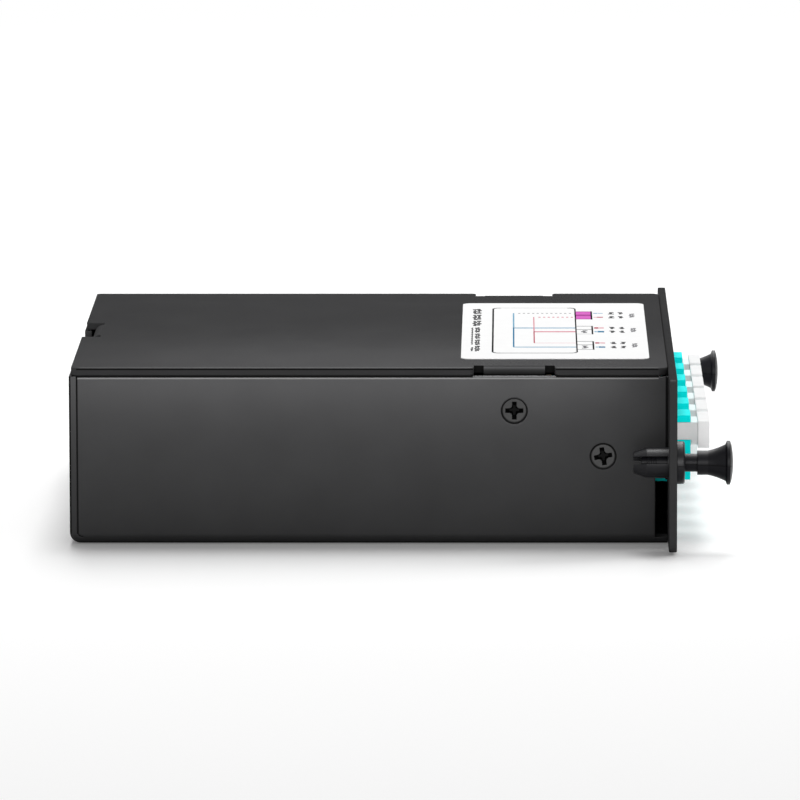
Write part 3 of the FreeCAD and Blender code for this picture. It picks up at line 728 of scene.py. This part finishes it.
titleSet = {    # x, y and pitch in mm, and the first stroke's number
    "paragraphs": (((-32.8, -31.25), (3.6, 24.2), 1.30), ((-32.35, -31.4), (-25.8, 3.2), 1.30)),
    "strokes": (((-32.95, -32.6), (-18.0, 1.8), 0.85, 0),
                ((-33.0, -32.5), (-25.6, -21.0), 1.5, 4)),
}
strokeSet = {
    "sway": (2.3, 3.7), "ragged": 0.16, "space": 0.10,          # uneven ends, share of a stroke
    "run": 5, "lap": 0.06, "short": 0.3, "stagger": 0.4, "wider": 1.2, "gap": 0.5,
    "nextRun": 3, "secondRow": 7,
}
inkSet = {
    "blackInk": (0.02, 0.02, 0.022), "greyInk": (0.16, 0.16, 0.17),
    "blueInk": (0.04, 0.18, 0.32), "paleBlueInk": (0.18, 0.36, 0.50),
    "redInk": (0.42, 0.05, 0.09), "paleRedInk": (0.62, 0.24, 0.29),
    "magentaInk": (0.62, 0.14, 0.50), "plumInk": (0.36, 0.07, 0.28),
}
inkGloss = {"lighter": 1.06, "roughness": 0.6, "softEdge": 0.01}
inkOrder = list(inkSet)


def bar(shape, x, y, ink, lift=1.0):
    # thin printed field between two x and two y values
    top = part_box("label")[1].z
    made = bmesh.ops.create_cube(shape, size=1.0)["verts"]
    size = (abs(x[1] - x[0]) * mm, abs(y[1] - y[0]) * mm, labelSet["ink"] * lift * mm)
    bmesh.ops.scale(shape, verts=made, vec=size)
    centre = ((x[0] + x[1]) / 2 * mm, (y[0] + y[1]) / 2 * mm, top + size[2] / 2)
    bmesh.ops.translate(shape, verts=made, vec=centre)
    for face in facesOf(made):
        face.material_index = inkOrder.index(ink)


def lineAlongX(shape, x, y, width, ink, lift=1.0):
    bar(shape, x, (y - width / 2, y + width / 2), ink, lift)


def lineAlongY(shape, x, y, width, ink, lift=1.0):
    bar(shape, (x - width / 2, x + width / 2), y, ink, lift)


def strokes(shape, x, y, pitch, ink, start=0):
    # a word stood in for by short uneven strokes, side by side along y
    count = max(1, round((y[1] - y[0]) / pitch))
    step = (y[1] - y[0]) / count
    across, space = x[1] - x[0], strokeSet["space"]
    for i in range(count):
        low, high = ((math.sin((i + start) * sway) + 1) * strokeSet["ragged"]
                     for sway in strokeSet["sway"])
        bar(shape, (x[0] + across * low, x[1] - across * high),
            (y[0] + step * (i + space), y[0] + step * (i + 1 - space)), ink)


def paragraph(shape, x, y, pitch, ink):
    # two staggered rows of strokes, with a gap after every run
    place, first = y[0], 0
    middleX, lap = (x[0] + x[1]) / 2, strokeSet["lap"]
    while place < y[1] - pitch:
        end = min(place + pitch * strokeSet["run"], y[1])
        strokes(shape, (x[0], middleX + lap), (place, end - pitch * strokeSet["short"]),
                pitch, ink, first)
        strokes(shape, (middleX - lap, x[1]), (place + pitch * strokeSet["stagger"], end),
                pitch * strokeSet["wider"], ink, first + strokeSet["secondRow"])
        place, first = end + pitch * strokeSet["gap"], first + strokeSet["nextRun"]


def roundedFrame(shape):
    left, right = labelSet["frameX"]
    low, high = labelSet["frameY"]
    end = labelSet["frameEnd"]
    for x, inward, width in zip((left, right), (1, -1), labelSet["frameLine"]):
        lineAlongY(shape, x, (low + end, high - end), width, "blackInk")
        for y, up in ((low, 1), (high, -1)):
            for (near, far), (first, last) in labelSet["corner"]:
                faint = up > 0 and first < 0
                bar(shape, (x + inward * near, x + inward * far),
                    (y + up * first, y + up * last), "greyInk" if faint else "blackInk")
    for y, (inset, width) in zip((low, high), labelSet["rails"]):
        lineAlongX(shape, (left + inset, right - inset), y, width, "greyInk")


def circuit(shape):
    # a blue and a red run, each looped back along its rows, the first row dashed
    right = labelSet["frameX"][1]
    short, long = labelSet["joinShort"], labelSet["joinLong"]
    (top, topLow), (mid, midLow), (base, baseLow) = labelSet["rows"]
    blue = (labelSet["blueX"], labelSet["blueLine"], labelSet["blueRows"], top, mid, baseLow,
            "paleBlueInk", "blueInk")
    red = (labelSet["redX"], labelSet["redLine"], labelSet["redRows"], topLow, midLow, base,
           "paleRedInk", "redInk")
    for x, width, rows, high, middleRow, low, pale, full in (blue, red):
        lineAlongY(shape, x, (middleRow, high + short), width, pale)
        lineAlongY(shape, x, (low, middleRow + long), width, full)
        for y, thick in zip((middleRow, low), rows):
            lineAlongX(shape, (x, right), y, thick, pale, labelSet["under"])
    dashes = zip((labelSet["blueX"], labelSet["redX"]), (top, topLow), labelSet["dashRows"],
                 ("greyInk", "paleRedInk"))
    for x, y, width, ink in dashes:
        place = x + labelSet["dashStep"]
        while place < right - labelSet["dash"]:
            lineAlongX(shape, (place, place + labelSet["dash"]), y, width, ink)
            place += labelSet["dashStep"]


def connectorBox(shape, place, low, high, centre):
    # the first is a magenta field, the others are outlined
    left, end = tableSet["boxX"]
    if place == 0:
        bar(shape, (left, end), (low, high), "magentaInk", tableSet["fieldLift"])
        inset, *widths = tableSet["plum"]
        for y, width in zip((low + inset, centre, high - inset), widths):
            lineAlongX(shape, (left, end), y, width, "plumInk", tableSet["lineLift"])
    else:
        line, rise = tableSet["boxLine"], tableSet["boxRise"]
        for y, width in ((low, tableSet["boxLow"] * place), (centre + rise, line), (high, line)):
            lineAlongX(shape, (left, end), y, width, "greyInk", tableSet["lineLift"])
        inset, (under, over) = tableSet["entryX"], tableSet["entryY"]
        strokes(shape, (left + inset, end - inset), (low + under, centre + over),
                tableSet["entryPitch"], "greyInk", place)
    shift, lap, width = tableSet["boxEnd"]
    lineAlongY(shape, end + shift, (low - lap, high + lap), width, "blackInk")


def colourMarks(shape, place, upper, lower):
    # two marks on each row, red over blue but for the first
    first, last = tableSet["marksX"]
    split = (first + last) / 2 + tableSet["markSplit"]
    upperInk, lowerInk = ("redInk", "blueInk") if place else ("blueInk", "redInk")
    pale = {"blueInk": "paleBlueInk", "redInk": "paleRedInk"}
    marks = zip((first, last, first, last), tableSet["markShift"],
                (upper, upper, lower, lower), tableSet["markShare"],
                (upperInk if place else pale[upperInk], pale[upperInk], pale[lowerInk], lowerInk))
    for end, shift, y, share, ink in marks:
        lineAlongX(shape, (end, split + shift), y, tableSet["marks"][place] * share, ink)


def connectorTable(shape):
    # one box per row with its colour marks and short entries
    for place, (upper, lower) in enumerate(labelSet["rows"]):
        low, high = tableSet["boxY"][place]
        connectorBox(shape, place, low, high, (upper + lower) / 2)
        colourMarks(shape, place, upper, lower)
        half = tableSet["number"]
        for x in (tableSet["bigX"], tableSet["smallX"]):
            for y in (upper, lower):
                strokes(shape, x, (y - half, y + half), tableSet["numberPitch"], "blackInk",
                        place + round(x[0]))
        under, over = tableSet["nameY"]
        paragraph(shape, tableSet["nameX"], (lower + under, upper + over),
                  tableSet["namePitch"], "greyInk")


def labelPrint():
    shape = bmesh.new()
    roundedFrame(shape)
    circuit(shape)
    connectorTable(shape)
    for x, y, pitch in titleSet["paragraphs"]:
        paragraph(shape, x, y, pitch, "blackInk")
    for x, y, pitch, start in titleSet["strokes"]:
        strokes(shape, x, y, pitch, "blackInk", start)

    data = bpy.data.meshes.new("labelPrint")
    shape.to_mesh(data)
    shape.free()
    printed = bpy.data.objects.new("labelPrint", data)
    bpy.context.collection.objects.link(printed)
    for name, colour in inkSet.items():
        brighter = tuple(min(1, part * inkGloss["lighter"]) for part in colour)
        data.materials.append(moulded(name, colour, brighter, inkGloss["roughness"], 0.0,
                                      inkGloss["softEdge"]))
    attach(printed, "cassette")


labelPrint()
print("label printed")
